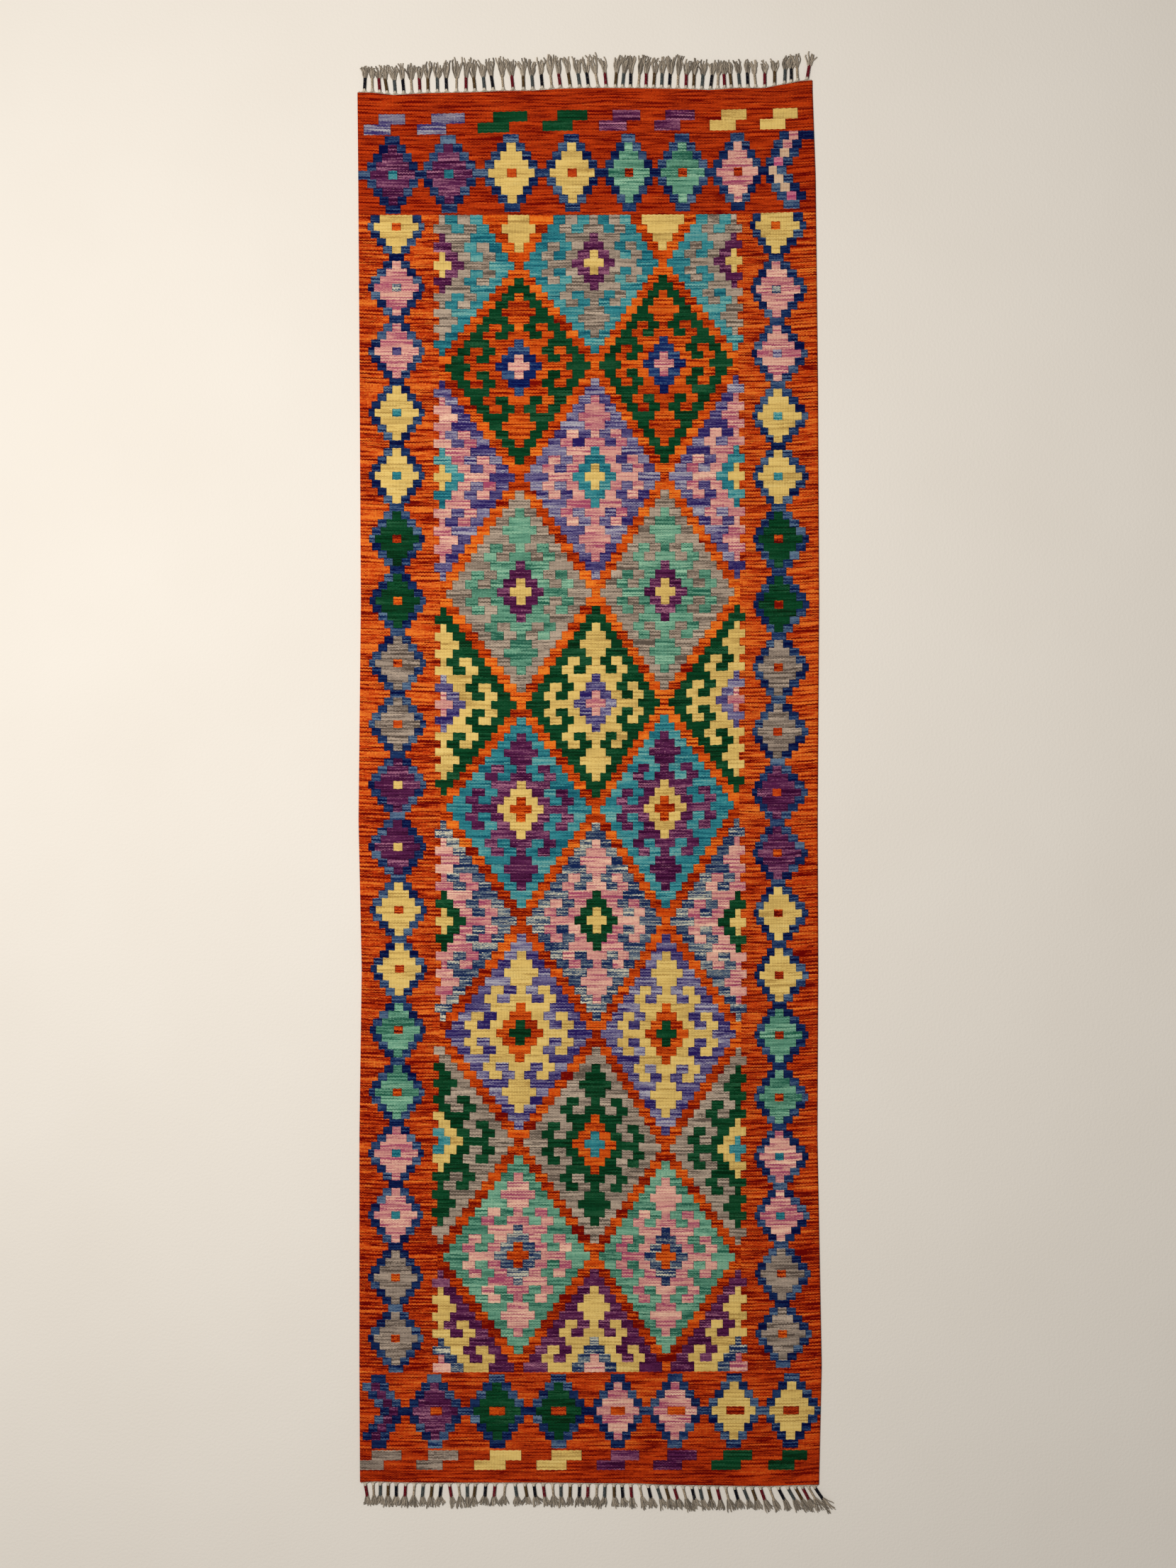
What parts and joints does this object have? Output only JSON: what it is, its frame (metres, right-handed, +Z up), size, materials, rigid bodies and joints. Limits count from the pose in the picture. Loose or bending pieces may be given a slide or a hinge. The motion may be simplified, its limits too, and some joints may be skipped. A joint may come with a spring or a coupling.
{
  "type": "kilim rug",
  "caption": "Flat-woven wool runner lying flat, with stepped and hooked diamonds in its field, diamond borders, and bound warp tassels along both ends.",
  "frame": {"origin": "on the floor under the middle of the whole rug's footprint, fringes included", "axes": "+X across the width to the right, +Y along the length, +Z up out of the face"},
  "size_m": [0.831, 2.5472, 0.0046],
  "materials": {
    "kilim_weave": "weft-faced slit tapestry of hand-spun wool with ribs along its length, matt",
    "fringe_yarn": "undyed grey-beige warp yarn, knotted at its roots and bound with coloured wool, matt"
  },
  "bodies": {
    "root": {"cloth": "kilim_weave", "fringe_top": "fringe_yarn", "fringe_bottom": "fringe_yarn"}
  },
  "joints": []
}
